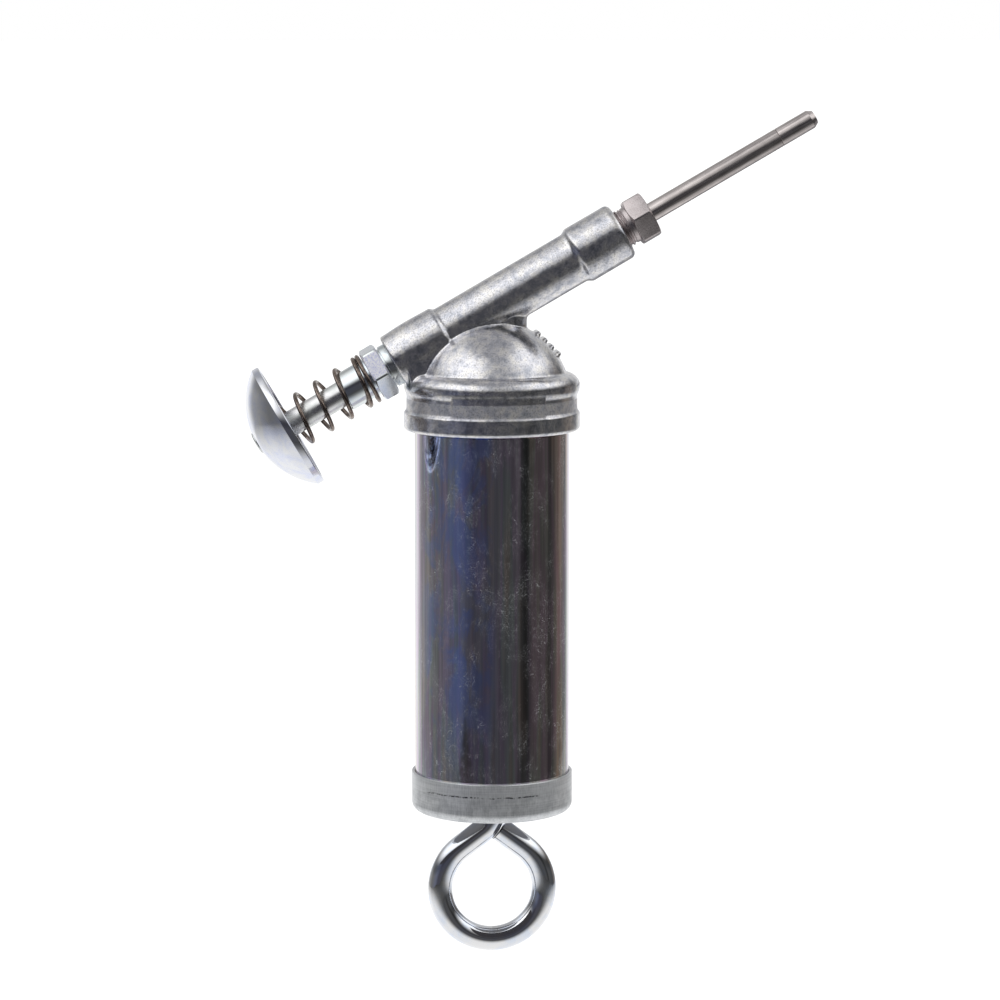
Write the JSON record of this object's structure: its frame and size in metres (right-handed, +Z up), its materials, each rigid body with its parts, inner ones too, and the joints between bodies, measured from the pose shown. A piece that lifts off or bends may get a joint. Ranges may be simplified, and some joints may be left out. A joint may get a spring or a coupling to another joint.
{
  "type": "push-type hand grease gun",
  "caption": "Palm-pushed hand grease gun: an inclined pump head with a slim nozzle on a screw-on steel barrel, with a spring follower and a ring-ended pull rod.",
  "frame": {"origin": "on the barrel's axis, halfway up the bare barrel, at the middle of the barrel_clip mount", "axes": "+Z up the barrel's axis towards the pump head; +X towards the nozzle, so the pump's axis lies in the XZ plane and rises 30 degrees; +Y across the gun, away from the side with the blank label pad"},
  "size_m": [0.1407, 0.0434, 0.2088],
  "materials": {
    "head_casting": "satin die-cast, fine grain",
    "gland_plate": "bright zinc plate over machined steel",
    "plunger_plate": "bright zinc plate",
    "knob_plate": "bright zinc plate, faint blue and yellow tints",
    "spring_wire": "oil-tempered dark bronze",
    "outlet_plate": "machined, warm grey plate",
    "nozzle_steel": "drawn tube, warm grey",
    "barrel_plate": "mirror-bright zinc plate with smudges",
    "cap_plate": "pressed, brushed zinc plate",
    "ring_plate": "bright zinc plate",
    "seal_rubber": "matt black",
    "inner_steel": "plain",
    "ball_steel": "polished"
  },
  "bodies": {
    "head": {"pump_head": "head_casting", "gland_nut": "gland_plate", "gland_o_ring": "seal_rubber", "outlet_fitting": "outlet_plate", "nozzle_tube": "nozzle_steel", "nozzle_tip": "nozzle_steel", "check_spring": "inner_steel"},
    "check_valve": {"check_ball": "ball_steel"},
    "knob_spring": {"return_spring": "spring_wire"},
    "plunger": {"plunger_rod": "plunger_plate", "piston_o_ring": "seal_rubber", "palm_knob": "knob_plate"},
    "gasket": {"barrel_gasket": "seal_rubber"},
    "barrel": {"barrel_tube": "barrel_plate", "end_cap": "cap_plate", "follower_spring": "spring_wire"},
    "follower": {"follower_back_plate": "inner_steel", "follower_cup": "seal_rubber", "follower_washer": "inner_steel"},
    "pull_handle": {"pull_rod": "ring_plate", "follower_nut": "inner_steel"}
  },
  "joints": [
    {"name": "knob_spin", "type": "hinge", "parent": "head", "child": "knob_spring", "pos_m": [-0.0433, 0, 0.04785], "axis": [0.866, 0, 0.5], "continuous": true},
    {"name": "plunger_press", "type": "slide", "parent": "knob_spring", "child": "plunger", "axis": [0.866, 0, 0.5], "range_m": [0, 0.019], "stiffness_N_per_m": 600, "springref_m": -0.008, "deforming": ["return_spring"]},
    {"name": "check_lift", "type": "slide", "parent": "head", "child": "check_valve", "axis": [0.866, 0, 0.5], "range_m": [0, 0.0015], "stiffness_N_per_m": 200, "springref_m": -0.002, "deforming": ["check_spring"]},
    {"name": "barrel_advance", "type": "slide", "parent": "head", "child": "gasket", "axis": [0, 0, -1], "range_m": [0, 0.00706]},
    {"name": "barrel_unscrew", "type": "hinge", "parent": "gasket", "child": "barrel", "pos_m": [0, 0, 0], "axis": [0, 0, -1], "range_deg": [0, 1800]},
    {"name": "follower_pull", "type": "slide", "parent": "barrel", "child": "follower", "axis": [0, 0, -1], "range_m": [0, 0.062], "stiffness_N_per_m": 150, "springref_m": -0.04, "deforming": ["follower_spring"]},
    {"name": "handle_turn", "type": "hinge", "parent": "follower", "child": "pull_handle", "pos_m": [0, 0, -0.07255], "axis": [0, 0, 1], "continuous": true}
  ],
  "couplings": [
    {"joint": "barrel_advance", "follows": "barrel_unscrew", "m_per_rad": 0.00022459}
  ]
}
